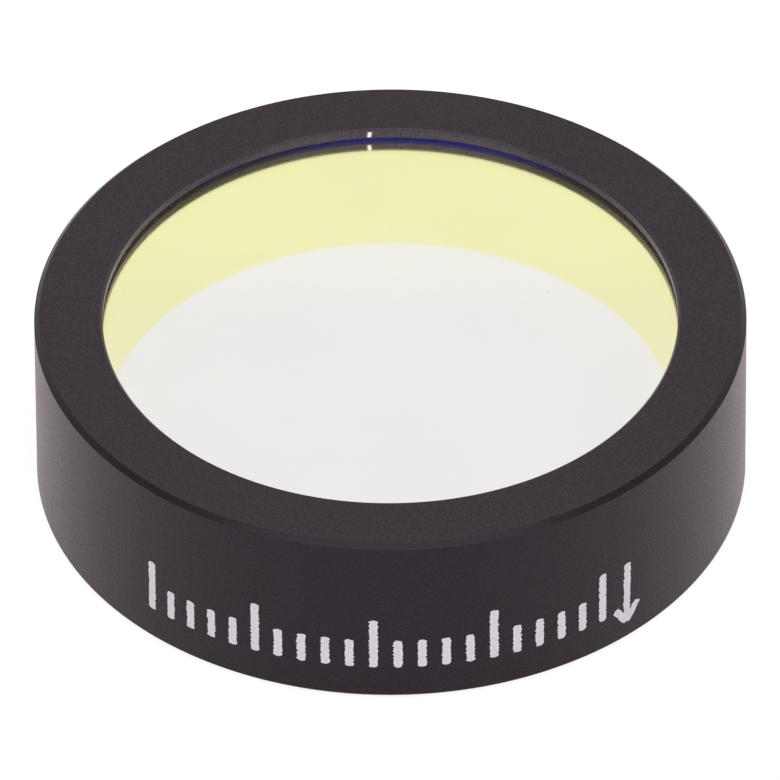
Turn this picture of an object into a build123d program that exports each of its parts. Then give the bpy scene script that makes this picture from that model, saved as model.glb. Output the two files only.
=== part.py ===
from build123d import *
import os

# Mounted optical bandpass filter: a coated glass plate held in a thin black ring.
# Millimetres. +Z is the optical axis, towards the coated front face.
# The origin is the centre of the rear face, on which the ring stands.

# Housing ring
ring_diameter = 12.5
ring_height = 3.5
wall_thickness = 0.5
lip_thickness = 0.19
outer_chamfer = 0.09
pocket_corner_radius = 0.08
pocket_mouth_break = 0.06

# Glass plate, and how far it reaches under the lip and over the retaining ring
plate_thickness = 1.7
plate_seat_width = 0.6
plate_bevel = 0.12

# Set adhesive: its layer under the lip, its gap round the plate, and how far it stays back from the bore
seat_bond_thickness = 0.07
seat_bond_setback = 0.15
edge_bond_gap = 0.1
edge_bond_rear_margin = 0.1

# Retaining ring and the film of adhesive round it
retainer_bond_gap = 0.05
retainer_bond_setback = 0.15
retainer_lead_in = 0.12

# The broken edge of both bores
bore_edge_break = 0.045

# Radii, worked out from the rim inwards
ring_radius = ring_diameter / 2
pocket_radius = ring_radius - wall_thickness
plate_radius = pocket_radius - edge_bond_gap
bore_radius = plate_radius - plate_seat_width
retainer_radius = pocket_radius - retainer_bond_gap
seat_bond_radius = bore_radius + seat_bond_setback

# Heights, worked out from the front face down
lip_underside = ring_height - lip_thickness
plate_front = lip_underside - seat_bond_thickness
plate_rear = plate_front - plate_thickness


# Housing ring: one turned piece, bored from the rear up to the front lip
with BuildPart() as housing_ring:
    with BuildSketch(Plane.XZ):
        with BuildLine():
            Polyline(
                (pocket_radius, 0),
                (ring_radius, 0),
                (ring_radius, ring_height),
                (bore_radius, ring_height),
                (bore_radius, lip_underside),
                (pocket_radius, lip_underside),
                close=True,
            )
        make_face()
    revolve(axis=Axis.Z)
    turned_edges = housing_ring.edges().filter_by(GeomType.CIRCLE).group_by(SortBy.RADIUS)
    bore_edges = turned_edges[0]
    pocket_edges = turned_edges[1]
    rim_edges = turned_edges[2]
    fillet(pocket_edges.sort_by(Axis.Z)[-1], radius=pocket_corner_radius)
    chamfer(pocket_edges.sort_by(Axis.Z)[0], length=pocket_mouth_break)
    chamfer(bore_edges.sort_by(Axis.Z)[-1], length=bore_edge_break)
    chamfer(rim_edges, length=outer_chamfer)
housing_ring.part.label = "housing_ring"


# Filter substrate: a flat glass plate with ground bevels on both edges
with BuildPart() as filter_substrate:
    with BuildSketch(Plane.XY.offset(plate_rear)):
        Circle(plate_radius)
    extrude(amount=plate_thickness)
    chamfer(filter_substrate.edges().filter_by(GeomType.CIRCLE), length=plate_bevel)
filter_substrate.part.label = "filter_substrate"


# Glass bond: one bead of L-shaped section, a thin washer under the lip that turns down round the plate's edge
with BuildPart() as glass_bond:
    with BuildSketch(Plane.XZ):
        with BuildLine():
            Polyline(
                (seat_bond_radius, plate_front),
                (plate_radius - plate_bevel, plate_front),
                (plate_radius, plate_front - plate_bevel),
                (plate_radius, plate_rear + plate_bevel + edge_bond_rear_margin),
                (pocket_radius, plate_rear + plate_bevel + edge_bond_rear_margin),
                (pocket_radius, lip_underside),
                (seat_bond_radius, lip_underside),
                close=True,
            )
        make_face()
    revolve(axis=Axis.Z)
    pocket_edges = glass_bond.edges().filter_by(GeomType.CIRCLE).group_by(SortBy.RADIUS)[-1]
    fillet(pocket_edges.sort_by(Axis.Z)[-1], radius=pocket_corner_radius)
glass_bond.part.label = "glass_bond"


# Retaining ring: a turned insert behind the plate, flush with the rear face, its bore in line with the lip's
with BuildPart() as retaining_ring:
    with BuildSketch(Plane.XY):
        Circle(retainer_radius)
        Circle(bore_radius, mode=Mode.SUBTRACT)
    extrude(amount=plate_rear)
    turned_edges = retaining_ring.edges().filter_by(GeomType.CIRCLE).group_by(SortBy.RADIUS)
    bore_edges = turned_edges[0]
    fit_edges = turned_edges[-1]
    chamfer(fit_edges.sort_by(Axis.Z)[-1], length=retainer_lead_in)
    chamfer(fit_edges.sort_by(Axis.Z)[0], length=bore_edge_break)
    chamfer(bore_edges, length=bore_edge_break)
retaining_ring.part.label = "retaining_ring"


# Ring bond: the film of adhesive between the retaining ring and the pocket wall, set back from the rear face
with BuildPart() as ring_bond:
    with BuildSketch(Plane.XY.offset(retainer_bond_setback)):
        Circle(pocket_radius)
        Circle(retainer_radius, mode=Mode.SUBTRACT)
    extrude(amount=plate_rear - retainer_lead_in - retainer_bond_setback)
ring_bond.part.label = "ring_bond"


os.makedirs("parts", exist_ok=True)
export_step(housing_ring.part, "parts/housing_ring.step")
export_step(filter_substrate.part, "parts/filter_substrate.step")
export_step(glass_bond.part, "parts/glass_bond.step")
export_step(retaining_ring.part, "parts/retaining_ring.step")
export_step(ring_bond.part, "parts/ring_bond.step")
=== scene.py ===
"""The looks of a small mounted optical bandpass filter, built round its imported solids.

Lengths are metres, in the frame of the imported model: +Z is the optical axis, and the ring stands on z = 0.
"""

import logging
import math
from dataclasses import dataclass, field, replace
from enum import Enum
from typing import Any, Callable, Mapping, Optional, Sequence, Union

import bpy
from mathutils import Matrix, Vector


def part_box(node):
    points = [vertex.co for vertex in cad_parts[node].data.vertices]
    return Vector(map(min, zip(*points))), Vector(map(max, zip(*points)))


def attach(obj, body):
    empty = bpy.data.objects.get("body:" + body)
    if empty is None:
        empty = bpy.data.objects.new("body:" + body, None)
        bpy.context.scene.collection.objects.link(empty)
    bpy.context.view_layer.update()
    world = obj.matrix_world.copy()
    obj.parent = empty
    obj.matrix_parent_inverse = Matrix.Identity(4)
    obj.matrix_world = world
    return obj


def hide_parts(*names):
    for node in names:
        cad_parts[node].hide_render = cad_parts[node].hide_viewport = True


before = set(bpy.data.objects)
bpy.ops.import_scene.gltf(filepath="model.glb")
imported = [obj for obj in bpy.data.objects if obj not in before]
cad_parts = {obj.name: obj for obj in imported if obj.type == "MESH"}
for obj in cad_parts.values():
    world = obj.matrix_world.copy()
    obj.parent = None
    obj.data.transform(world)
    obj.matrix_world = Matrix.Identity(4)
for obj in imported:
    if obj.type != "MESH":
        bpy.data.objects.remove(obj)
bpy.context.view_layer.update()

log = logging.getLogger("bandpass_filter")

MM = 0.001
BODY = "root"
BLACK = (0.0, 0.0, 0.0)
WHITE = (1.0, 1.0, 1.0)
GLASS_IOR = 1.46
PLAIN = (2.0, 0.5)  # the detail and roughness of a plain noise
FINE = (3.0, 0.6)  # the same with more fine layers

Colour = tuple[float, float, float]
Point = tuple[float, float]
Operand = Union["Value", float]
Node = bpy.types.Node
Socket = bpy.types.NodeSocket
Piece = bpy.types.Object


class Graph:
    """A node tree under construction, for a material, the world or Geometry Nodes.

    Attributes:
        tree: the tree.
        place: in a material, the Object coordinates.
    """

    def __init__(self, tree: bpy.types.NodeTree) -> None:
        """Keeps the tree.

        Args:
            tree: the tree that gets the nodes.
        """
        self.tree = tree
        self.place: Optional[Socket] = None

    def node(
        self,
        kind: str,
        inputs: Optional[Mapping[Union[str, int], Any]] = None,
        **settings: Any,
    ) -> Node:
        """Adds one node, sets it up and feeds it.

        Args:
            kind: the node's type name.
            inputs: what goes into each named or numbered input.
            settings: the node's own properties, set before its sockets are fed.

        Returns:
            The new node.
        """
        made = self.tree.nodes.new(kind)
        for name, setting in settings.items():
            setattr(made, name, setting)
        for name, fed in (inputs or {}).items():
            self.feed(made.inputs[name], fed)
        return made

    def feed(self, socket: Socket, fed: Any) -> None:
        """Links a Value, a socket or a node's first output to an input, or writes a plain value there.

        Args:
            socket: the input.
            fed: what goes in; a colour may have three numbers.
        """
        if isinstance(fed, Value):
            fed = fed.socket
        if isinstance(fed, Node):
            fed = fed.outputs[0]
        if isinstance(fed, Socket):
            self.tree.links.new(fed, socket)
        elif socket.type == "RGBA" and len(fed) == 3:
            socket.default_value = (*fed, 1.0)
        else:
            socket.default_value = fed

    def value(self, socket: Socket) -> "Value":
        """A Value on an output socket, for arithmetic."""
        return Value(self, socket)

    def parts(self, place: Any) -> tuple["Value", ...]:
        """The X, Y and Z of a coordinate, for arithmetic."""
        return tuple(self.value(part) for part in self.node("ShaderNodeSeparateXYZ", {0: place}).outputs)

    def combine(self, x: Any = 0.0, y: Any = 0.0, z: Any = 0.0) -> Node:
        """A vector of three numbers."""
        return self.node("ShaderNodeCombineXYZ", {0: x, 1: y, 2: z})

    def vector(self, operation: str, first: Any, second: Any) -> Node:
        """A Vector Math node on two vectors, or on a vector and a scale."""
        other = "Scale" if operation == "SCALE" else 1
        return self.node("ShaderNodeVectorMath", {0: first, other: second}, operation=operation)

    def noise(self, place: Any, size: Any, detail: float = 2.0, roughness: float = 0.5) -> Node:
        """Noise over a place, with patches of about the given size in metres."""
        layers = {"Vector": place, "Scale": 1.0 / size, "Detail": detail, "Roughness": roughness}
        return self.node("ShaderNodeTexNoise", layers, noise_dimensions="3D")

    def grain(self, size: float, detail: float = 2.0, roughness: float = 0.5) -> "Value":
        """The same noise over a material's coordinates, as one number from 0 to 1."""
        return self.value(self.noise(self.place, size, detail, roughness).outputs[0])

    def bump(self, height: Operand, strength: float, distance: float) -> Node:
        """A normal that follows a height from 0 to 1, where 1 stands a distance above 0."""
        return self.node("ShaderNodeBump", {"Strength": strength, "Distance": distance, "Height": height})

    def between(self, share: Operand, low: Any, high: Any) -> Socket:
        """A mix of two colours, where a share of 0 gives low and 1 gives high."""
        return self.node("ShaderNodeMix", {0: share, 6: low, 7: high}, data_type="RGBA").outputs[2]

    def seen_rays(self, mirrored: float, through: float) -> "Value":
        """1 for rays from the camera, a share for rays from a mirror or through glass, and 0 for others.

        Args:
            mirrored: the share for rays from a mirror.
            through: the share for rays through glass.

        Returns:
            The share.
        """
        path = self.node("ShaderNodeLightPath").outputs
        passed = self.value(path["Is Transmission Ray"]) * through
        seen = self.value(path["Is Camera Ray"]).larger(passed)
        return seen.larger(self.value(path["Is Glossy Ray"]) * mirrored)


def operator(operation: str, swapped: bool = False) -> Callable[..., "Value"]:
    """A method of Value that adds one Math node.

    Args:
        operation: the node's operation.
        swapped: True for an operator with the value on its right.

    Returns:
        The method.
    """

    def apply(value: "Value", *others: Operand) -> "Value":
        """The value and the others, put through the node."""
        terms = (*others, value) if swapped else (value, *others)
        return value.maths(operation, *terms)

    return apply


class Value:
    """A number on a socket, to which Python's operators add Math nodes."""

    def __init__(self, graph: Graph, socket: Socket) -> None:
        """Keeps the socket and its graph.

        Args:
            graph: the graph that gets the Math nodes.
            socket: the output that holds the number.
        """
        self.graph = graph
        self.socket = socket

    def maths(self, operation: str, *terms: Operand) -> "Value":
        """The result of a Math node on the given terms."""
        made = self.graph.node("ShaderNodeMath", dict(enumerate(terms)), operation=operation)
        return Value(self.graph, made.outputs[0])

    __add__ = operator("ADD")
    __radd__ = operator("ADD", swapped=True)
    __sub__ = operator("SUBTRACT")
    __rsub__ = operator("SUBTRACT", swapped=True)
    __mul__ = operator("MULTIPLY")
    __rmul__ = operator("MULTIPLY", swapped=True)
    __truediv__ = operator("DIVIDE")
    __rtruediv__ = operator("DIVIDE", swapped=True)
    __mod__ = operator("MODULO")
    __gt__ = operator("GREATER_THAN")
    __lt__ = operator("LESS_THAN")
    smaller = operator("MINIMUM")
    larger = operator("MAXIMUM")
    size = operator("ABSOLUTE")
    root = operator("SQRT")
    sine = operator("SINE")
    cosine = operator("COSINE")

    def ramp(self, start: float, end: float) -> "Value":
        """self turned into a smooth step.

        Args:
            start: where the step is 0.
            end: where the step is 1.

        Returns:
            The step, held between 0 and 1.
        """
        ends = {0: self, 1: start, 2: end, 3: 0.0, 4: 1.0}
        made = self.graph.node("ShaderNodeMapRange", ends, interpolation_type="SMOOTHSTEP", clamp=True)
        return Value(self.graph, made.outputs[0])


@dataclass(frozen=True)
class Finish:
    """A finish, made as a node material on the piece's own Object coordinates.

    Attributes:
        name: the material's name.
    """

    name: str

    def shader(self, graph: Graph) -> Node:
        """Adds the finish's nodes; each finish has its own.

        Args:
            graph: the material's graph.

        Returns:
            The shader node that goes into the surface.
        """
        raise NotImplementedError

    def material(self) -> bpy.types.Material:
        """Builds the material.

        Returns:
            The material.
        """
        made = bpy.data.materials.new(self.name)
        made.use_nodes = True
        made.node_tree.nodes.clear()
        graph = Graph(made.node_tree)
        graph.place = graph.node("ShaderNodeTexCoord").outputs["Object"]
        graph.node("ShaderNodeOutputMaterial", {"Surface": self.shader(graph)})
        return made


@dataclass(frozen=True)
class Grain:
    """A fine unevenness of a surface, in its tone, its gloss and its height.

    Attributes:
        size: the size of one grain.
        ends: the noise at which the tone is the first and the second.
        roughness: how matt the surface is where the noise is 0.
        uneven: how much the noise adds to that.
        depth: how high the grain stands, as a share of its size.
        strength: how much of that height shows.
        layers: the detail and roughness of the noise.
    """

    size: float
    ends: Point
    roughness: float = 0.6
    uneven: float = 0.2
    depth: float = 0.1
    strength: float = 0.5
    layers: Point = FINE

    def lay(self, graph: Graph, low: Colour, high: Colour) -> dict[str, Any]:
        """Works out what the grain does to a surface.

        Args:
            graph: the material's graph.
            low: the first tone.
            high: the second tone.

        Returns:
            What goes into the shader's colour, roughness and normal.
        """
        noise = graph.grain(self.size, *self.layers)
        return {
            "Base Color": graph.between(noise.ramp(*self.ends), low, high),
            "Roughness": self.roughness + noise * self.uneven,
            "Normal": graph.bump(noise, self.strength, self.size * self.depth),
        }


@dataclass(frozen=True)
class PaintedGlint:
    """A painted highlight on the lip's bore: a small bright, smoother metal spot where a lamp's glint shows.

    Attributes:
        across: its place along X.
        width: its width along X.
        low: the height at which it starts.
        high: the height at which it ends.
        lean: how far it moves along X from low to high.
        colour: the painted highlight's colour.
    """

    across: float = -0.358 * MM
    width: float = 0.080 * MM
    low: float = 3.32 * MM
    high: float = 3.485 * MM
    lean: float = 0.018 * MM
    colour: Colour = (0.84, 0.74, 0.90)

    def share(self, graph: Graph) -> Value:
        """1 in the painted highlight and 0 elsewhere, with soft edges.

        Args:
            graph: the material's graph.

        Returns:
            The share.
        """
        across, away, height = graph.parts(graph.place)
        lean = self.lean / (self.high - self.low)
        off_line = (across - self.across - (height - self.low) * lean).size()
        beside = 1.0 - off_line.ramp(0.0, self.width * 0.8)
        above = height.ramp(self.low - self.width * 0.2, self.low + self.width * 0.5)
        below = 1.0 - height.ramp(self.high - self.width, self.high + self.width * 0.3)
        return beside * above * below * (away > 0.0)


@dataclass(frozen=True)
class Anodising(Finish):
    """Matt black anodising on blasted aluminium, which can also carry painted light: blue light on the bore
    and on the lip's underside, and a painted highlight.

    Attributes:
        light: the paler tone of its grain.
        dark: the darker tone of its grain.
        grain: the size of one grain.
        grain_ends: the noise at which a grain is dark and light.
        cloud: the size of the faint patches of tone.
        cloud_ends: the noise at which a patch is dark and light.
        cloud_share: how much of the tone the patches make.
        roughness: how matt it is.
        uneven: how much the grain and the patches change that.
        relief: how high the grain stands.
        relief_strength: how much of that shows.
        gloss: the level of its reflection.
        gloss_tint: the tint of its reflection.
        sheen: how strongly it shines at a flat angle.
        sheen_roughness: how wide that shine is.
        sheen_tint: the tint of that shine.
        ior: the layer's refractive index.
        bore_radius: the radius within which the bore gets painted blue light, or 0.
        painted_bore_pale: the paler tone of the painted blue light on the bore.
        painted_bore_deep: the darker tone of the painted blue light on the bore.
        painted_under_height: the height above which a face that looks down gets the painted light of the
            lip's underside.
        painted_under_facing: the upright part of the normal below which a face looks down.
        painted_under_light: the painted blue light on the lip's underside, for light through the plate.
        painted_glint: a painted highlight, or None.
        painted_glint_polish: how much smoother the painted highlight is.
    """

    light: Colour = (0.030, 0.022, 0.029)
    dark: Colour = BLACK
    grain: float = 0.036 * MM
    grain_ends: Point = (0.38, 0.62)
    cloud: float = 1.4 * MM
    cloud_ends: Point = (0.35, 0.65)
    cloud_share: float = 0.1
    roughness: float = 0.28
    uneven: Point = (0.10, 0.05)
    relief: float = 0.0026 * MM
    relief_strength: float = 0.55
    gloss: float = 0.35
    gloss_tint: Colour = (1.0, 0.80, 0.98)
    sheen: float = 0.24
    sheen_roughness: float = 0.3
    sheen_tint: Colour = (1.0, 0.74, 0.86)
    ior: float = 1.5
    bore_radius: float = 0.0
    painted_bore_pale: Colour = (0.048, 0.044, 0.068)
    painted_bore_deep: Colour = (0.020, 0.018, 0.037)
    painted_under_height: float = 1.0
    painted_under_facing: float = -0.9
    painted_under_light: Colour = (0.13, 0.115, 0.17)
    painted_glint: Optional[PaintedGlint] = None
    painted_glint_polish: float = 0.5

    def in_bore(self, graph: Graph) -> Value:
        """1 within the bore's radius, and 0 elsewhere."""
        across, away, _ = graph.parts(graph.place)
        return across * across + away * away < self.bore_radius * self.bore_radius

    def with_painted_light(self, graph: Graph, tone: Value, colour: Any) -> Any:
        """Lays painted blue light on the bore and on the lip's underside over a colour.

        Args:
            graph: the material's graph.
            tone: the grain's tone, from 0 to 1.
            colour: the colour of the rest.

        Returns:
            The colour with both.
        """
        if self.bore_radius == 0.0:
            return colour
        upward = graph.parts(graph.node("ShaderNodeNewGeometry").outputs["True Normal"])[2]
        height = graph.parts(graph.place)[2]
        # painted light: a paler, bluish tone in the bore, for light through the plate
        metal = graph.between(tone, self.painted_bore_deep, self.painted_bore_pale)
        colour = graph.between(self.in_bore(graph), colour, metal)
        # painted light: the lip's underside gets a pale blue tone, for light through the plate
        under = (upward < self.painted_under_facing) * (height > self.painted_under_height)
        return graph.between(under, colour, self.painted_under_light)

    def shader(self, graph: Graph) -> Node:
        """Adds the nodes, as Finish has it."""
        grain = graph.grain(self.grain, *FINE)
        cloud = graph.grain(self.cloud)
        patches = cloud.ramp(*self.cloud_ends) * self.cloud_share
        tone = grain.ramp(*self.grain_ends) * (1.0 - self.cloud_share) + patches
        colour = self.with_painted_light(graph, tone, graph.between(tone, self.dark, self.light))
        rough = self.roughness + (grain - 0.5) * self.uneven[0] + (cloud - 0.5) * self.uneven[1]
        # painted highlight: a bright, smoother metal spot in the bore where a lamp's glint shows
        painted_glint_share: Operand = 0.0
        if self.painted_glint is not None:
            painted_glint_share = self.painted_glint.share(graph) * self.in_bore(graph)
            colour = graph.between(painted_glint_share, colour, self.painted_glint.colour)
            rough = rough * (1.0 - painted_glint_share * self.painted_glint_polish)
        return graph.node(
            "ShaderNodeBsdfPrincipled",
            {
                "Base Color": colour,
                "Roughness": rough,
                "Metallic": painted_glint_share,
                "IOR": self.ior,
                "Specular IOR Level": self.gloss,
                "Specular Tint": self.gloss_tint,
                "Sheen Weight": self.sheen,
                "Sheen Roughness": self.sheen_roughness,
                "Sheen Tint": self.sheen_tint,
                "Normal": graph.bump(grain, self.relief_strength, self.relief),
            },
        )


# The chamfers: a darker, less glossy copy of the anodising, which is painted shade, with their own tones of
# painted light in the bore and no painted highlight.
CUT_EDGE_PAINTED_SHADE = {
    "light": (0.006, 0.005, 0.006),
    "gloss": 0.26,
    "roughness": 0.30,
    "painted_bore_pale": (0.054, 0.046, 0.052),
    "painted_bore_deep": (0.024, 0.020, 0.023),
    "painted_glint": None,
}
# The side wall: a darker copy of the anodising, whose darker tone is painted shade, with a coarser grain and
# relief for the turned surface.
TURNED_WALL_PAINTED_SHADE = {
    "light": (0.013, 0.010, 0.013),
    "dark": (0.004, 0.003, 0.004),
    "grain": 0.045 * MM,
    "relief": 0.016 * MM,
}


@dataclass(frozen=True)
class DichroicCoating(Finish):
    """The coated front face of the plate: it mirrors yellow, lets blue through, and carries a few specks.

    Attributes:
        mirrored: the share of red, green and blue that it mirrors on the far side.
        nearer: the share that it mirrors on the near side, a little less than on the far side.
        run_from: how far along Y the one begins to turn into the other.
        run_to: where it has turned.
        haze: the size of the faint patches of haze.
        haze_ends: the noise at which it is clean and hazed.
        haze_share: how much light the haze takes.
        passed: the share that it lets through.
        soft: how soft its mirror image is.
        ior: the glass's refractive index.
        dust: the colour of a speck of dust.
        dust_hazed: the same under the haze.
        dust_roughness: how matt a speck is.
        dust_cover: how much a speck hides.
        speck_spacing: about how far apart specks could lie.
        speck_size: the radius of a speck, as a share of the spacing.
        speck_share: the share of places that hold a speck.
    """

    name: str = "dichroic_coating"
    mirrored: Colour = (0.965, 0.959, 0.502)
    nearer: Colour = (0.930, 0.916, 0.495)
    run_from: float = 0.2 * MM
    run_to: float = 2.4 * MM
    haze: float = 2.2 * MM
    haze_ends: Point = (0.2, 0.8)
    haze_share: float = 0.02
    passed: Colour = (0.0, 0.0, 0.46)
    soft: float = 0.155
    ior: float = GLASS_IOR
    dust: Colour = (0.62, 0.62, 0.60)
    dust_hazed: Colour = (0.5, 0.5, 0.5)
    dust_roughness: float = 0.9
    dust_cover: float = 0.35
    speck_spacing: float = 0.55 * MM
    speck_size: float = 0.035
    speck_share: float = 0.12

    def shader(self, graph: Graph) -> Node:
        """Adds the nodes, as Finish has it."""
        spots = {"Vector": graph.place, "Scale": 1.0 / self.speck_spacing}
        cells = graph.node("ShaderNodeTexVoronoi", spots, feature="F1", voronoi_dimensions="3D")
        near = 1.0 - graph.value(cells.outputs["Distance"]).ramp(self.speck_size * 0.5, self.speck_size)
        pick = graph.node("ShaderNodeSeparateColor", {0: cells.outputs["Color"]})
        chosen = graph.value(pick.outputs[0]) < self.speck_share
        haze = graph.grain(self.haze).ramp(*self.haze_ends)
        away = graph.parts(graph.place)[1]
        tint = graph.between(away.ramp(self.run_from, self.run_to), self.nearer, self.mirrored)
        tint = graph.between(haze * self.haze_share, tint, BLACK)
        mirror = graph.node(
            "ShaderNodeBsdfPrincipled",
            {"Base Color": tint, "Metallic": 1.0, "Roughness": self.soft},
        )
        through = graph.node(
            "ShaderNodeBsdfRefraction",
            {"Color": self.passed, "Roughness": 0.0, "IOR": self.ior},
        )
        coat = graph.node("ShaderNodeAddShader", {0: mirror, 1: through})
        speck = graph.node(
            "ShaderNodeBsdfPrincipled",
            {"Base Color": graph.between(haze, self.dust, self.dust_hazed), "Roughness": self.dust_roughness},
        )
        return graph.node("ShaderNodeMixShader", {0: near * chosen * self.dust_cover, 1: coat, 2: speck})


@dataclass(frozen=True)
class PolishedGlass(Finish):
    """The plate's rear face, polished and coated against reflections.

    Attributes:
        clean: what it lets through where it is clean.
        hazed: what it lets through under the film.
        ior: the glass's refractive index.
        film: the size of the faint patches of haze on it.
        film_ends: the noise at which it is clean and hazed.
        roughness: how rough it is where it is clean.
        film_roughness: how much rougher the film is.
    """

    name: str = "polished_glass"
    clean: Colour = WHITE
    hazed: Colour = (0.985, 0.985, 0.99)
    ior: float = GLASS_IOR
    film: float = 1.8 * MM
    film_ends: Point = (0.45, 0.8)
    roughness: float = 0.10
    film_roughness: float = 0.03

    def shader(self, graph: Graph) -> Node:
        """Adds the nodes, as Finish has it."""
        haze = graph.grain(self.film).ramp(*self.film_ends)
        return graph.node(
            "ShaderNodeBsdfPrincipled",
            {
                "Base Color": graph.between(haze, self.clean, self.hazed),
                "Roughness": self.roughness + haze * self.film_roughness,
                "Transmission Weight": 1.0,
                "IOR": self.ior,
            },
        )


@dataclass(frozen=True)
class GroundGlass(Finish):
    """The plate's ground edge and bevels: dark where the black bead wets them, and pale near the top, with a
    painted glow that stands in for light scattered out of the plate, strongest on a stretch of the far side.

    Attributes:
        pale: the paler tone of the ground surface.
        deep: the darker tone.
        backed: its tone where the black bead wets it.
        painted_glow_from: the height at which it begins to be dry, pale and glowing.
        painted_glow_to: the height above which it is dry, pale and glowing.
        painted_glow_start: how far along X the stretch of strongest painted glow begins on the far side.
        painted_glow_end: how far along X it ends.
        painted_glow_fade: over what length it begins and ends.
        painted_glow_least: how pale and glowing it is beyond both ends.
        glow: the strength of the painted glow, standing in for light inside the plate that the dry edge
            scatters.
        pits: its pits, deep and pale.
    """

    name: str = "ground_glass"
    pale: Colour = WHITE
    deep: Colour = (0.85, 0.85, 0.92)
    backed: Colour = (0.012, 0.011, 0.012)
    painted_glow_from: float = 1.95 * MM
    painted_glow_to: float = 2.28 * MM
    painted_glow_start: float = -2.3 * MM
    painted_glow_end: float = 4.2 * MM
    painted_glow_fade: float = 2.0 * MM
    painted_glow_least: float = 0.28
    glow: float = 0.072
    pits: Grain = Grain(0.02 * MM, (0.3, 0.7))

    def dry_and_painted_glow(self, graph: Graph) -> Value:
        """1 where the ground edge is dry, pale and has the painted glow, and 0 where the bead wets it; the
        glow is strongest on a stretch of the far side.

        Args:
            graph: the material's graph.

        Returns:
            The share.
        """
        across, away, height = graph.parts(graph.place)
        begins = across.ramp(self.painted_glow_start, self.painted_glow_start + self.painted_glow_fade)
        ends = 1.0 - across.ramp(self.painted_glow_end - self.painted_glow_fade, self.painted_glow_end)
        stretch = begins * ends * (away > 0.0)
        share = self.painted_glow_least + stretch * (1.0 - self.painted_glow_least)
        return share * height.ramp(self.painted_glow_from, self.painted_glow_to)

    def shader(self, graph: Graph) -> Node:
        """Adds the nodes, as Finish has it."""
        ground = self.pits.lay(graph, self.deep, self.pale)
        # dark where the bead wets the edge; pale, with painted glow, near the top and most on the far side
        dry_and_painted_glow = self.dry_and_painted_glow(graph)
        return graph.node(
            "ShaderNodeBsdfPrincipled",
            {
                **ground,
                "Base Color": graph.between(dry_and_painted_glow, self.backed, ground["Base Color"]),
                # painted glow: the dry part of the edge glows though it is no lamp, for light scattered out
                # of the plate
                "Emission Color": graph.between(dry_and_painted_glow, BLACK, WHITE),
                "Emission Strength": self.glow,
            },
        )


@dataclass(frozen=True)
class SetAdhesive(Finish):
    """Black adhesive, set, with a slightly uneven skin.

    Attributes:
        tone: its colour.
        paler: how much paler it is on a lump.
        lumps: its lumps.
    """

    name: str = "set_adhesive"
    tone: Colour = (0.070, 0.060, 0.072)
    paler: float = 1.6
    lumps: Grain = Grain(0.08 * MM, (0.3, 0.7), roughness=0.25, depth=0.15, strength=0.6, layers=PLAIN)

    def shader(self, graph: Graph) -> Node:
        """Adds the nodes, as Finish has it."""
        pale = tuple(part * self.paler for part in self.tone)
        return graph.node("ShaderNodeBsdfPrincipled", self.lumps.lay(graph, self.tone, pale))


@dataclass(frozen=True)
class LaserMark(Finish):
    """Anodising bleached by a marking laser, in fine passes.

    Attributes:
        pale: the bleached tone.
        grey: the tone between the passes.
        rim: the tone along both sides of a stroke, where the passes turn round.
        rim_share: how much of that tone shows.
        rim_ends: where across a stroke it begins and is reached.
        passes: its passes, grey and pale.
        sheen: how strongly it shines at a flat angle.
        sheen_roughness: how wide that shine is.
        across: the name of the attribute that runs from -1 to 1 across a stroke.
    """

    name: str = "laser_mark"
    pale: Colour = (0.95, 1.0, 1.0)
    grey: Colour = (0.83, 0.88, 0.90)
    rim: Colour = WHITE
    rim_share: float = 0.8
    rim_ends: Point = (0.35, 0.85)
    passes: Grain = Grain(0.035 * MM, (0.35, 0.65))
    sheen: float = 0.35
    sheen_roughness: float = 0.6
    across: str = "across"

    def shader(self, graph: Graph) -> Node:
        """Adds the nodes, as Finish has it."""
        burnt = self.passes.lay(graph, self.grey, self.pale)
        beside = graph.node("ShaderNodeAttribute", attribute_name=self.across).outputs["Fac"]
        turning = graph.value(beside).size().ramp(*self.rim_ends)
        return graph.node(
            "ShaderNodeBsdfPrincipled",
            {
                **burnt,
                "Base Color": graph.between(turning * self.rim_share, burnt["Base Color"], self.rim),
                "Sheen Weight": self.sheen,
                "Sheen Roughness": self.sheen_roughness,
            },
        )


@dataclass(frozen=True)
class StudioFloor(Finish):
    """The pale floor: white to the camera save for the ring's shadow, and rosy in what it lends to black.

    Attributes:
        tint: its tone to matt surfaces.
        tint_pale: the paler tone of its mottle.
        mottle: the size of one patch of the mottle.
        mirrored: how white it is in a mirror.
        through: how white it is through glass.
        glow: how bright it is to the camera before light falls on it.
        share: how much of the light on it it then shows.
    """

    name: str = "studio_floor"
    tint: Colour = (0.84, 0.64, 0.78)
    tint_pale: Colour = (0.86, 0.66, 0.80)
    mottle: float = 40 * MM
    mirrored: float = 0.6
    through: float = 0.8
    glow: float = 0.86
    share: float = 0.30

    def shader(self, graph: Graph) -> Node:
        """Adds the nodes, as Finish has it."""
        tone = graph.between(graph.grain(self.mottle), self.tint, self.tint_pale)
        matt = graph.node("ShaderNodeBsdfDiffuse", {"Color": tone})
        dim = graph.node("ShaderNodeBsdfDiffuse", {"Color": (self.share,) * 3})
        glow = graph.node("ShaderNodeEmission", {"Color": WHITE, "Strength": self.glow})
        white = graph.node("ShaderNodeAddShader", {0: dim, 1: glow})
        seen = graph.seen_rays(self.mirrored, self.through)
        return graph.node("ShaderNodeMixShader", {0: seen, 1: matt, 2: white})


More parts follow.
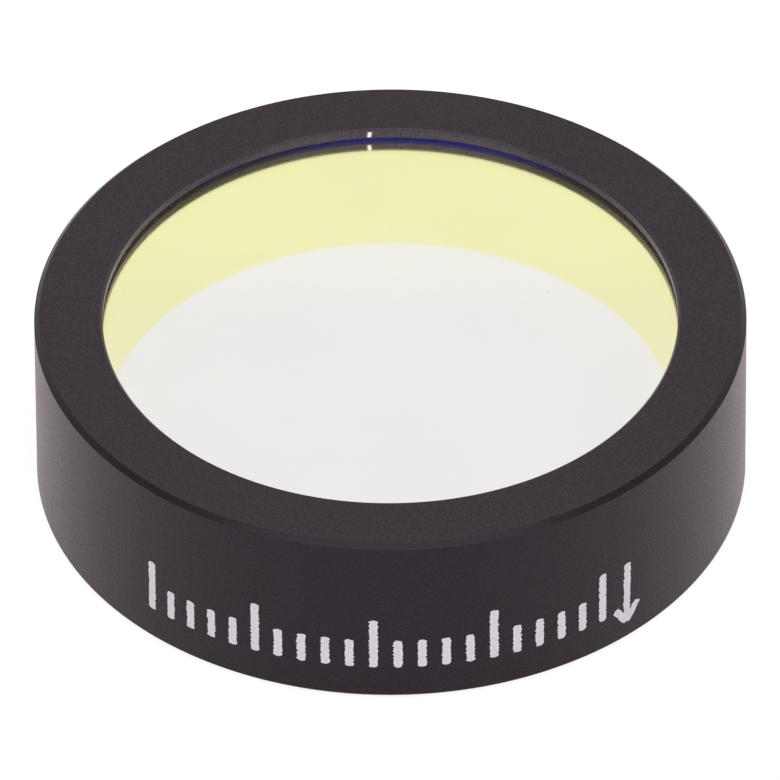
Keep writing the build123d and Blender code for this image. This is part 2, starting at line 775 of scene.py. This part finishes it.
class BuildTree:
    """A Geometry Nodes tree with named inputs, the first of which is the blank that it works on."""

    def __init__(self, name: str, inputs: Mapping[str, str], output: str) -> None:
        """Makes the tree and its sockets.

        Args:
            name: the tree's name.
            inputs: the kind of each named input.
            output: the output's name.
        """
        self.tree = bpy.data.node_groups.new(name, "GeometryNodeTree")
        self.sockets = {label: self.declare(label, "INPUT", kind) for label, kind in inputs.items()}
        self.declare(output, "OUTPUT", "Geometry")
        self.graph = Graph(self.tree)
        self.given = self.graph.node("NodeGroupInput").outputs

    def declare(self, name: str, way: str, kind: str) -> str:
        """Adds a socket and returns its identifier."""
        made = self.tree.interface.new_socket(name, in_out=way, socket_type="NodeSocket" + kind)
        return made.identifier

    def number(self, name: str) -> Value:
        """A named input, for arithmetic."""
        return self.graph.value(self.given[name])

    def piece(
        self,
        name: str,
        points: Sequence[tuple[float, float, float]],
        edges: Sequence[tuple[int, int]],
        settings: Mapping[str, Any],
    ) -> Piece:
        """Runs the tree on a blank and keeps the result as a plain mesh.

        Args:
            name: the finished piece's name.
            points: the blank's points.
            edges: the blank's edges.
            settings: the value of each named input after the first.

        Returns:
            The finished piece.
        """
        lines = bpy.data.meshes.new(name + "_blank")
        lines.from_pydata(points, edges, [])
        blank = bpy.data.objects.new(name + "_blank", lines)
        bpy.context.scene.collection.objects.link(blank)
        modifier = blank.modifiers.new("build", "NODES")
        modifier.node_group = self.tree
        for label, setting in settings.items():
            modifier[self.sockets[label]] = setting
        bpy.context.view_layer.update()
        graph = bpy.context.evaluated_depsgraph_get()
        mesh = bpy.data.meshes.new_from_object(blank.evaluated_get(graph), depsgraph=graph)
        mesh.name = name
        blank.modifiers.remove(modifier)
        bpy.data.objects.remove(blank)
        piece = bpy.data.objects.new(name, mesh)
        bpy.context.scene.collection.objects.link(piece)
        return piece


class Lathe(BuildTree):
    """The tree that turns a section outline about the optical axis.

    Attributes:
        PATH_RADIUS: the radius of the circle that the section is swept round.
        FACING: the upright part of the normal above which a face is the front, or the rear.
        LEANING: the least and the greatest upright part on a chamfer.
        MERGED: how close together two points are one.
        CREASE: the angle over which an edge stays sharp.
        FINISHES: the inputs that take the finishes.
    """

    PATH_RADIUS = 1.0 * MM
    FACING = 0.99
    LEANING = (0.3, 0.95)
    MERGED = 1e-7
    CREASE = math.radians(5.0)
    FINISHES = ("Side Finish", "Front Finish", "Rear Finish", "Edge Finish")

    def __init__(self) -> None:
        """Builds the tree once, for all turned pieces."""
        inputs = {
            "Section": "Geometry",
            "Steps Round": "Int",
            "Corner Radius": "Float",
            "Corner Steps": "Int",
            "Crease Angle": "Float",
        }
        super().__init__("turned_piece", {**inputs, **dict.fromkeys(self.FINISHES, "Material")}, "Piece")
        self.build()

    def build(self) -> None:
        """Rounds the section's corners, sweeps it round a circle, creases it and sets the finishes."""
        graph = self.graph
        given = self.given
        outline = graph.node("GeometryNodeMeshToCurve", {0: given["Section"]})
        rounded = graph.node(
            "GeometryNodeFilletCurve",
            {
                "Curve": outline,
                "Count": given["Corner Steps"],
                "Radius": given["Corner Radius"],
                "Limit Radius": True,
            },
            mode="POLY",
        )
        circle = graph.node(
            "GeometryNodeCurvePrimitiveCircle",
            {"Resolution": given["Steps Round"], "Radius": self.PATH_RADIUS},
            mode="RADIUS",
        )
        swept = graph.node("GeometryNodeCurveToMesh", {"Curve": circle, "Profile Curve": rounded})
        outward = graph.node("GeometryNodeFlipFaces", {0: swept})
        closed = graph.node("GeometryNodeMergeByDistance", {"Geometry": outward, "Distance": self.MERGED})
        bend = graph.node("GeometryNodeInputMeshEdgeAngle").outputs["Unsigned Angle"]
        gentle = graph.node(
            "FunctionNodeCompare",
            {0: bend, 1: given["Crease Angle"]},
            data_type="FLOAT", operation="LESS_THAN",
        )
        smooth = graph.node("GeometryNodeSetShadeSmooth", {0: closed}, domain="FACE")
        creased = graph.node(
            "GeometryNodeSetShadeSmooth",
            {"Geometry": smooth, "Shade Smooth": gentle},
            domain="EDGE",
        )
        upward = graph.parts(graph.node("GeometryNodeInputNormal"))[2]
        least, greatest = self.LEANING
        chosen = (
            True,
            upward > self.FACING,
            upward < -self.FACING,
            (upward.size() > least) * (upward.size() < greatest),
        )
        dressed = graph.node("GeometryNodeRealizeInstances", {0: creased})
        for finish, faces in zip(self.FINISHES, chosen):
            dressed = graph.node(
                "GeometryNodeSetMaterial",
                {"Geometry": dressed, "Selection": faces, "Material": given[finish]},
            )
        graph.node("NodeGroupOutput", {0: dressed})

    def turn(
        self,
        name: str,
        section: Sequence[Point],
        closed: bool,
        corner: float,
        finishes: Sequence[bpy.types.Material],
        steps_round: int = 384,
        corner_steps: int = 3,
    ) -> Piece:
        """Turns one piece and leaves it as a plain mesh.

        Args:
            name: the piece's name.
            section: radius and height of each corner, anticlockwise with the axis on the left.
            closed: False for a section whose ends lie on the axis.
            corner: the radius of each rounded corner.
            finishes: the side, front, rear and edge finish.
            steps_round: how many steps the circle has.
            corner_steps: how many points round each corner gets.

        Returns:
            The piece.
        """
        points = [(radius - self.PATH_RADIUS, -height, 0.0) for radius, height in section]
        edges = [(i, i + 1) for i in range(len(points) - 1)]
        if closed:
            edges.append((len(points) - 1, 0))
        settings = {
            "Steps Round": steps_round,
            "Corner Radius": corner,
            "Corner Steps": corner_steps,
            "Crease Angle": self.CREASE,
            **dict(zip(self.FINISHES, finishes)),
        }
        return self.piece(name, points, edges, settings)


def outer_radius(node: str) -> float:
    """The outer radius of a CAD node, from its box."""
    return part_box(node)[1].x


def inner_radius(node: str) -> float:
    """The radius of a CAD ring's bore, from its points."""
    return min(math.hypot(v.co.x, v.co.y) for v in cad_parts[node].data.vertices)


def report(piece: Piece) -> None:
    """Logs a finished piece and its faces."""
    log.info("%s: %d faces", piece.name, len(piece.data.polygons))


@dataclass
class Housing:
    """The outer ring, with its front lip.

    Attributes:
        lathe: turns the piece.
        outer_chamfer: the chamfer on both outer rims.
        edge_break: the broken edge of the lip's bore.
        mouth_break: the broken edge of the pocket's mouth.
        corner_cut: how far the pocket's inner corner is filled.
        corner: the radius of the rounded corners.
        painted_light_reach: how far past the bore the painted light and the painted highlight reach, as a
            share of the broken edge.
        painted_glint: the painted highlight on the lip's bore.
    """

    lathe: Lathe
    outer_chamfer: float = 0.09 * MM
    edge_break: float = 0.045 * MM
    mouth_break: float = 0.06 * MM
    corner_cut: float = 0.05 * MM
    corner: float = 0.006 * MM
    painted_light_reach: float = 1.05
    painted_glint: PaintedGlint = PaintedGlint()

    def section(self) -> list[Point]:
        """The ring's section, from the frame's sizes.

        Returns:
            Its corners.
        """
        rim = outer_radius("housing_ring")
        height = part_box("housing_ring")[1].z
        pocket = outer_radius("glass_bond")
        bore = inner_radius("retaining_ring")
        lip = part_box("glass_bond")[1].z
        return [
            (pocket + self.mouth_break, 0.0),
            (rim - self.outer_chamfer, 0.0),
            (rim, self.outer_chamfer),
            (rim, height - self.outer_chamfer),
            (rim - self.outer_chamfer, height),
            (bore + self.edge_break, height),
            (bore, height - self.edge_break),
            (bore, lip),
            (pocket - self.corner_cut, lip),
            (pocket, lip - self.corner_cut),
            (pocket, self.mouth_break),
        ]

    def build(self) -> Piece:
        """Turns, dresses and mounts the ring.

        Returns:
            The piece.
        """
        # the housing's anodising carries painted blue light in the bore and on the lip's underside, and a
        # painted highlight
        finish = Anodising(
            "housing_anodising_painted_light",
            bore_radius=inner_radius("retaining_ring") + self.edge_break * self.painted_light_reach,
            painted_under_height=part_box("glass_bond")[1].z - self.edge_break,
            painted_glint=self.painted_glint,
        )
        # the side wall takes the darker copy, which is partly painted shade
        wall = replace(finish, name="housing_wall_painted_shade", **TURNED_WALL_PAINTED_SHADE).material()
        face = replace(finish, painted_glint=None).material()
        # the chamfers take the darker copy, which is painted shade
        cut = replace(finish, name="housing_chamfers_painted_shade", **CUT_EDGE_PAINTED_SHADE).material()
        finishes = [wall, face, face, cut]
        piece = self.lathe.turn("housing_ring_turned", self.section(), True, self.corner, finishes)
        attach(piece, BODY)
        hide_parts("housing_ring")
        report(piece)
        return piece


@dataclass
class Window:
    """The coated glass plate.

    Attributes:
        lathe: turns the piece.
        bevel: the ground bevel on both edges.
        skin: how far its faces stay back from what they touch.
        corner: the radius of the rounded corners.
        coating: the front face's finish.
        rear: the rear face's finish.
        edge: the ground edge's finish.
    """

    lathe: Lathe
    bevel: float = 0.12 * MM
    skin: float = 0.001 * MM
    corner: float = 0.004 * MM
    coating: DichroicCoating = field(default_factory=DichroicCoating)
    rear: PolishedGlass = field(default_factory=PolishedGlass)
    edge: GroundGlass = field(default_factory=GroundGlass)

    def build(self) -> Piece:
        """Turns, dresses and mounts the plate.

        Returns:
            The piece.
        """
        low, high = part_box("filter_substrate")
        radius = high.x - self.skin
        bottom = low.z + self.skin
        top = high.z - self.skin
        section = [
            (0.0, bottom),
            (radius - self.bevel, bottom),
            (radius, bottom + self.bevel),
            (radius, top - self.bevel),
            (radius - self.bevel, top),
            (0.0, top),
        ]
        ground = self.edge.material()
        finishes = [ground, self.coating.material(), self.rear.material(), ground]
        piece = self.lathe.turn("filter_plate", section, False, self.corner, finishes)
        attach(piece, BODY)
        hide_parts("filter_substrate")
        report(piece)
        return piece


@dataclass
class Retainer:
    """The retaining ring behind the plate.

    Attributes:
        lathe: turns the piece.
        edge_break: its broken edges.
        lead_in: the chamfer on which it enters the pocket.
        corner: the radius of the rounded corners.
        finish: the anodising.
    """

    lathe: Lathe
    edge_break: float = 0.045 * MM
    lead_in: float = 0.12 * MM
    corner: float = 0.006 * MM
    finish: Anodising = field(default_factory=lambda: Anodising("retainer_anodising"))

    def build(self) -> Piece:
        """Turns, dresses and mounts the ring.

        Returns:
            The piece.
        """
        outer = outer_radius("retaining_ring")
        bore = inner_radius("retaining_ring")
        low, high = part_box("retaining_ring")
        section = [
            (bore + self.edge_break, low.z),
            (outer - self.edge_break, low.z),
            (outer, low.z + self.edge_break),
            (outer, high.z - self.lead_in),
            (outer - self.lead_in, high.z),
            (bore + self.edge_break, high.z),
            (bore, high.z - self.edge_break),
            (bore, low.z + self.edge_break),
        ]
        metal = self.finish.material()
        # the chamfers take the darker copy, which is painted shade
        cut = replace(self.finish, name="retainer_chamfers_painted_shade", **CUT_EDGE_PAINTED_SHADE).material()
        finishes = [metal, metal, metal, cut]
        piece = self.lathe.turn("retaining_ring_turned", section, True, self.corner, finishes)
        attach(piece, BODY)
        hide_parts("retaining_ring")
        report(piece)
        return piece


@dataclass
class Bonds:
    """The two beads of set adhesive.

    Attributes:
        lathe: turns the pieces.
        bevel: the plate's bevel, which the bead fills.
        corner_cut: how far the pocket's inner corner is filled.
        corner: the radius of the rounded corners.
        finish: the adhesive.
    """

    lathe: Lathe
    bevel: float = 0.12 * MM
    corner_cut: float = 0.05 * MM
    corner: float = 0.01 * MM
    finish: SetAdhesive = field(default_factory=SetAdhesive)

    def glass_section(self) -> list[Point]:
        """The L-shaped section between lip, plate and pocket.

        Returns:
            Its corners.
        """
        plate = outer_radius("filter_substrate")
        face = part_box("filter_substrate")[1].z
        pocket = outer_radius("glass_bond")
        low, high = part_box("glass_bond")
        return [
            (inner_radius("glass_bond"), face),
            (plate - self.bevel, face),
            (plate, face - self.bevel),
            (plate, low.z),
            (pocket, low.z),
            (pocket, high.z - self.corner_cut),
            (pocket - self.corner_cut, high.z),
            (inner_radius("glass_bond"), high.z),
        ]

    def ring_section(self) -> list[Point]:
        """The thin section between the retaining ring and the pocket.

        Returns:
            Its corners.
        """
        low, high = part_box("ring_bond")
        inner = outer_radius("retaining_ring")
        return [(inner, low.z), (high.x, low.z), (high.x, high.z), (inner, high.z)]

    def build(self) -> list[Piece]:
        """Turns, dresses and mounts both beads.

        Returns:
            The pieces.
        """
        bead = self.finish.material()
        made = []
        for node, section in (("glass_bond", self.glass_section()), ("ring_bond", self.ring_section())):
            piece = self.lathe.turn(node + "_bead", section, True, self.corner, [bead] * 4, steps_round=192)
            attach(piece, BODY)
            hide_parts(node)
            report(piece)
            made.append(piece)
        return made


class MarkPart(Enum):
    """The parts of the rim's marking."""

    SCALE = "scale"
    SHAFT = "arrow"
    HEAD = "arrowhead"


class StrokeTree(BuildTree):
    """The tree that turns flat centre lines into ragged strokes wrapped round the rim.

    Attributes:
        STEP: the distance between two points along a stroke.
        POINTS_ACROSS: how many points lie across a stroke.
        LEAST_BULGE: how narrow a stroke's end gets, squared, as a share of its width.
        RAGGED: the detail and roughness of the noise that moves its edge.
        STRETCH: how the noise is scaled along the rim and up.
        REACH: how far it moves a point along the rim and up.
    """

    STEP = 0.008 * MM
    POINTS_ACROSS = 9
    LEAST_BULGE = 0.02
    RAGGED = (2.0, 0.6)
    STRETCH = (0.35, 1.0, 1.0)
    REACH = (1.0, 0.35, 0.0)

    def __init__(self, across: str) -> None:
        """Builds the tree once, for all marks.

        Args:
            across: the name of the attribute that runs from -1 to 1 across a stroke.
        """
        inputs = {
            "Centre Lines": "Geometry",
            "Stroke Width": "Float",
            "Corner Share": "Float",
            "Rim Radius": "Float",
            "Tooth": "Float",
            "Tooth Size": "Float",
            "Line Count": "Int",
            "Line Pitch": "Float",
            "First Line": "Float",
            "Foot": "Float",
            "Tall": "Float",
            "Short": "Float",
            "Every": "Int",
            "Seed": "Float",
            "Finish": "Material",
        }
        super().__init__("rim_marks", inputs, "Marks")
        flat = self.shaken(self.strips(self.scale(), across))
        whole = self.graph.node("GeometryNodeRealizeInstances", {0: self.wrapped(flat)})
        finish = {"Geometry": whole, "Material": self.given["Finish"]}
        self.graph.node("NodeGroupOutput", {0: self.graph.node("GeometryNodeSetMaterial", finish)})

    def scale(self) -> Node:
        """Adds the centre lines of the row of index lines.

        Returns:
            The node that gives them.
        """
        graph = self.graph
        index = graph.value(graph.node("GeometryNodeInputIndex").outputs[0])
        along = index * self.number("Line Pitch") + self.number("First Line")
        start = graph.combine(along, self.given["Foot"])
        row = graph.node("GeometryNodePoints", {"Count": self.given["Line Count"], "Position": start})
        upright = graph.node("GeometryNodeCurvePrimitiveLine", {1: (0.0, 1.0, 0.0)}, mode="POINTS")
        is_long = index % self.number("Every") < 0.5
        short = self.number("Short")
        stretch = graph.combine(1.0, short + is_long * (self.number("Tall") - short), 1.0)
        drawn = {"Points": row, "Instance": upright, "Scale": stretch}
        lines = graph.node("GeometryNodeInstanceOnPoints", drawn)
        return graph.node("GeometryNodeRealizeInstances", {0: lines})

    def strips(self, scale: Node, across: str) -> Node:
        """Widens the centre lines into flat strips with rounded ends.

        Args:
            scale: the centre lines of the index lines.
            across: the name of the attribute that runs from -1 to 1 across a stroke.

        Returns:
            The node that gives the strips.
        """
        graph = self.graph
        both = graph.node("GeometryNodeJoinGeometry", {0: scale})
        graph.feed(both.inputs[0], graph.node("GeometryNodeMeshToCurve", {0: self.given["Centre Lines"]}))
        fine = graph.node("GeometryNodeResampleCurve", {"Curve": both, "Length": self.STEP}, mode="LENGTH")
        level = graph.node("GeometryNodeSetCurveNormal", {0: fine}, mode="Z_UP")
        half = self.number("Stroke Width") * 0.5
        gone = graph.value(graph.node("GeometryNodeSplineParameter").outputs["Length"])
        whole = graph.value(graph.node("GeometryNodeSplineLength").outputs["Length"])
        from_end = gone.smaller(whole - gone)
        rounding = (from_end / (half * self.number("Corner Share"))).smaller(1.0)
        bulge = (rounding * (2.0 - rounding)).larger(self.LEAST_BULGE)
        ends = {0: graph.combine(half * -1.0), 1: graph.combine(half)}
        width = graph.node("GeometryNodeCurvePrimitiveLine", ends, mode="POINTS")
        spaced = {"Curve": width, "Count": self.POINTS_ACROSS}
        line = graph.node("GeometryNodeResampleCurve", spaced, mode="COUNT")
        side = graph.parts(graph.node("GeometryNodeInputPosition"))[0]
        marked = graph.node(
            "GeometryNodeStoreNamedAttribute",
            {"Geometry": line, "Name": across, "Value": side / half},
            data_type="FLOAT", domain="POINT",
        )
        return graph.node(
            "GeometryNodeCurveToMesh",
            {"Curve": level, "Profile Curve": marked, "Scale": bulge.root()},
        )

    def shaken(self, strips: Node) -> Node:
        """Moves the strips' points about, so that their edges are ragged.

        Args:
            strips: the flat strips.

        Returns:
            The node that gives the ragged ones.
        """
        graph = self.graph
        rows = graph.vector("MULTIPLY", graph.node("GeometryNodeInputPosition"), self.STRETCH)
        seeded = graph.vector("ADD", rows, self.given["Seed"])
        ragged = graph.noise(seeded, self.number("Tooth Size"), *self.RAGGED).outputs["Color"]
        centred = graph.vector("SUBTRACT", ragged, (0.5, 0.5, 0.5))
        tooth = graph.vector("SCALE", graph.vector("MULTIPLY", centred, self.REACH), self.given["Tooth"])
        return graph.node("GeometryNodeSetPosition", {"Geometry": strips, "Offset": tooth})

    def wrapped(self, strips: Node) -> Node:
        """Wraps the flat strips round the rim.

        Args:
            strips: the flat strips.

        Returns:
            The node that gives the wrapped ones.
        """
        graph = self.graph
        along, up, out = graph.parts(graph.node("GeometryNodeInputPosition"))
        rim = self.number("Rim Radius")
        angle = along / rim
        stand = rim + out
        place = graph.combine(stand * angle.sine(), stand * angle.cosine() * -1.0, up)
        return graph.node("GeometryNodeSetPosition", {"Geometry": strips, "Position": place})


@dataclass
class RimMarks:
    """The pale marks on the rim: a plain row of index lines and the arrow of the light's direction.

    Attributes:
        finish: the laser mark.
        stroke: the width of the arrow's shaft.
        wing: the width of a stroke of its head.
        line: the width of an index line.
        corner_share: over what share of half its width a stroke's end is rounded.
        tooth: how far its edge is moved.
        tooth_size: the size of one tooth of its edge.
        scale_seed: where in the noise the index lines lie.
        arrow_seed: where in the noise the arrow lies.
        proud: how far the marks stand above the rim.
        base: the height of the row's foot.
        tall: the height of a long line.
        short: the height of a short line.
        first: the angle of the first line from the front, in degrees.
        pitch: the angle between two lines, in degrees.
        count: how many lines there are.
        every: each of how many lines is long.
        arrow_angle: the angle of the arrow, in degrees.
        arrow_top: the height of the arrow's tail.
        arrow_tip: the height of its tip.
        arrow_lean: how far its tip lies to the left of its tail.
        wing_rise: how far its wings rise.
        wing_reach: how far its wings reach sideways.
        wing_bend: how far the middle of a wing sags below its chord.
    """

    finish: LaserMark = field(default_factory=LaserMark)
    stroke: float = 0.15 * MM
    wing: float = 0.14 * MM
    line: float = 0.15 * MM
    corner_share: float = 0.55
    tooth: float = 0.10 * MM
    tooth_size: float = 0.040 * MM
    scale_seed: float = 0.37
    arrow_seed: float = 0.53
    proud: float = 0.003 * MM
    base: float = 0.72 * MM
    tall: float = 1.08 * MM
    short: float = 0.62 * MM
    first: float = -42.0
    pitch: float = 3.9
    count: int = 21
    every: int = 5
    arrow_angle: float = 41.1
    arrow_top: float = 1.76 * MM
    arrow_tip: float = 0.44 * MM
    arrow_lean: float = 0.018 * MM
    wing_rise: float = 0.36 * MM
    wing_reach: float = 0.25 * MM
    wing_bend: float = 0.02 * MM

    def lines(self, part: MarkPart, rim: float) -> list[list[Point]]:
        """The centre lines of the arrow's shaft or head, laid flat: along the rim, then up.

        Args:
            part: the part of the marking.
            rim: the rim's radius.

        Returns:
            The points of each line; none for the scale, which the tree draws by itself.
        """
        tail = math.radians(self.arrow_angle) * rim
        middle = tail - self.arrow_lean
        tip = (middle, self.arrow_tip)
        if part is MarkPart.SHAFT:
            return [[(tail, self.arrow_top), (middle, self.arrow_tip + self.wing * 0.5)]]
        if part is MarkPart.SCALE:
            return []
        wings = []
        for way in (-1.0, 1.0):
            reach = way * self.wing_reach
            bend = (middle + reach * 0.5, self.arrow_tip + self.wing_rise * 0.5 - self.wing_bend)
            wings.append([(middle + reach, self.arrow_tip + self.wing_rise), bend, tip])
        return wings

    def build(self) -> list[Piece]:
        """Draws, dresses and mounts the marks.

        Returns:
            The pieces.
        """
        tree = StrokeTree(self.finish.across)
        rim = outer_radius("housing_ring")
        ink = self.finish.material()
        made = []
        widths = {MarkPart.SCALE: self.line, MarkPart.SHAFT: self.stroke, MarkPart.HEAD: self.wing}
        for part in MarkPart:
            points: list[tuple[float, float, float]] = []
            edges: list[tuple[int, int]] = []
            for layer, line in enumerate(self.lines(part, rim)):
                first = len(points)
                lift = self.proud / 3 * (layer + (part is MarkPart.HEAD))
                points.extend((along, height, lift) for along, height in line)
                edges.extend((first + i, first + i + 1) for i in range(len(line) - 1))
            settings = {
                "Stroke Width": widths[part],
                "Corner Share": self.corner_share,
                "Rim Radius": rim + self.proud,
                "Tooth": self.tooth,
                "Tooth Size": self.tooth_size,
                "Line Count": self.count if part is MarkPart.SCALE else 0,
                "Line Pitch": math.radians(self.pitch) * rim,
                "First Line": math.radians(self.first) * rim,
                "Foot": self.base,
                "Tall": self.tall,
                "Short": self.short,
                "Every": self.every,
                "Seed": self.scale_seed if part is MarkPart.SCALE else self.arrow_seed,
                "Finish": ink,
            }
            piece = tree.piece("rim_" + part.value, points, edges, settings)
            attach(piece, BODY)
            report(piece)
            made.append(piece)
        return made


@dataclass
class Studio:
    """The floor, the light and the camera.

    Attributes:
        floor_size: the side of the floor.
        floor_drop: how far the floor lies below the ring.
        lamp_place: where the soft lamp hangs.
        lamp_width: its long side.
        lamp_depth: its short side.
        lamp_power: its power.
        sky: how bright the surroundings are to matt surfaces.
        glossy_sky: how bright they are in a mirror.
        floor_finish: the floor's finish.
        distance: how far the camera is from the middle of the ring's foot.
        elevation: how high it stands above the horizon, in degrees.
        tilt: how far it is turned up, in degrees.
        roll: how far it is rolled, in degrees.
        focal_pixels: its focal length, in pixels of the photograph's frame.
        frame_pixels: the width of that frame.
        sensor: the sensor's width, in millimetres.
        shift_pixels: how far the picture lies to the right and down, in the same pixels.
        clip: the nearest and the farthest that it sees.
    """

    floor_size: float = 1.6
    floor_drop: float = 0.02 * MM
    lamp_place: tuple[float, float, float] = (0.0, -0.30, 0.40)
    lamp_width: float = 0.80
    lamp_depth: float = 0.25
    lamp_power: float = 1.0
    sky: float = 0.5
    glossy_sky: float = 0.92
    floor_finish: StudioFloor = field(default_factory=StudioFloor)
    distance: float = 374.35 * MM
    elevation: float = 40.66
    tilt: float = 0.2005
    roll: float = 0.341
    focal_pixels: float = 21210.0
    frame_pixels: int = 780
    sensor: float = 36.0
    shift_pixels: Point = (0.75, 0.6)
    clip: Point = (0.01, 50.0)

    def floor(self) -> None:
        """Lays the pale floor, which shows white and keeps the ring's shadow."""
        half = self.floor_size / 2
        z = -self.floor_drop
        mesh = bpy.data.meshes.new("floor")
        corners = [(-half, -half, z), (half, -half, z), (half, half, z), (-half, half, z)]
        mesh.from_pydata(corners, [], [(0, 1, 2, 3)])
        mesh.materials.append(self.floor_finish.material())
        floor = bpy.data.objects.new("floor", mesh)
        bpy.context.scene.collection.objects.link(floor)

    def light(self) -> None:
        """Sets the white surroundings and one large soft lamp overhead."""
        world = bpy.data.worlds.new("studio")
        bpy.context.scene.world = world
        world.use_nodes = True
        world.node_tree.nodes.clear()
        graph = Graph(world.node_tree)
        seen = graph.seen_rays((self.glossy_sky - self.sky) / (1.0 - self.sky), 1.0)
        strength = self.sky + seen * (1.0 - self.sky)
        back = graph.node("ShaderNodeBackground", {"Color": WHITE, "Strength": strength})
        graph.node("ShaderNodeOutputWorld", {"Surface": back})
        lamp = bpy.data.lights.new("soft_lamp", "AREA")
        lamp.shape = "RECTANGLE"
        lamp.size = self.lamp_width
        lamp.size_y = self.lamp_depth
        lamp.energy = self.lamp_power
        hung = bpy.data.objects.new("soft_lamp", lamp)
        hung.location = self.lamp_place
        hung.rotation_euler = (Vector((0, 0, 0)) - hung.location).to_track_quat("-Z", "Y").to_euler()
        bpy.context.scene.collection.objects.link(hung)

    def camera(self) -> None:
        """Stands the camera where the photograph was taken from."""
        raised = math.radians(self.elevation)
        place = Vector((0.0, -math.cos(raised), math.sin(raised))) * self.distance
        forward = -place.normalized()
        right = Vector((1.0, 0.0, 0.0))
        up = right.cross(forward)
        tilt = Matrix.Rotation(math.radians(self.tilt), 3, right)
        forward = tilt @ forward
        up = tilt @ up
        roll = Matrix.Rotation(math.radians(self.roll), 3, forward)
        right = roll @ right
        up = roll @ up
        turned = Matrix((right, up, -forward)).transposed().to_4x4()
        lens = bpy.data.cameras.new("camera")
        lens.sensor_width = self.sensor
        lens.lens = self.focal_pixels / self.frame_pixels * self.sensor
        lens.shift_x = -self.shift_pixels[0] / self.frame_pixels
        lens.shift_y = self.shift_pixels[1] / self.frame_pixels
        lens.clip_start, lens.clip_end = self.clip
        stand = bpy.data.objects.new("camera", lens)
        stand.matrix_world = Matrix.Translation(place) @ turned
        bpy.context.scene.collection.objects.link(stand)
        bpy.context.scene.camera = stand

    def build(self) -> None:
        """Sets up the whole studio."""
        bpy.context.scene.view_settings.view_transform = "Standard"
        self.floor()
        self.light()
        self.camera()


def main() -> None:
    """Builds every piece in order, then the studio."""
    logging.basicConfig(level=logging.INFO, format="%(name)s: %(message)s")
    lathe = Lathe()
    Housing(lathe).build()
    Window(lathe).build()
    Retainer(lathe).build()
    Bonds(lathe).build()
    RimMarks().build()
    Studio().build()


if __name__ == "__main__":
    main()
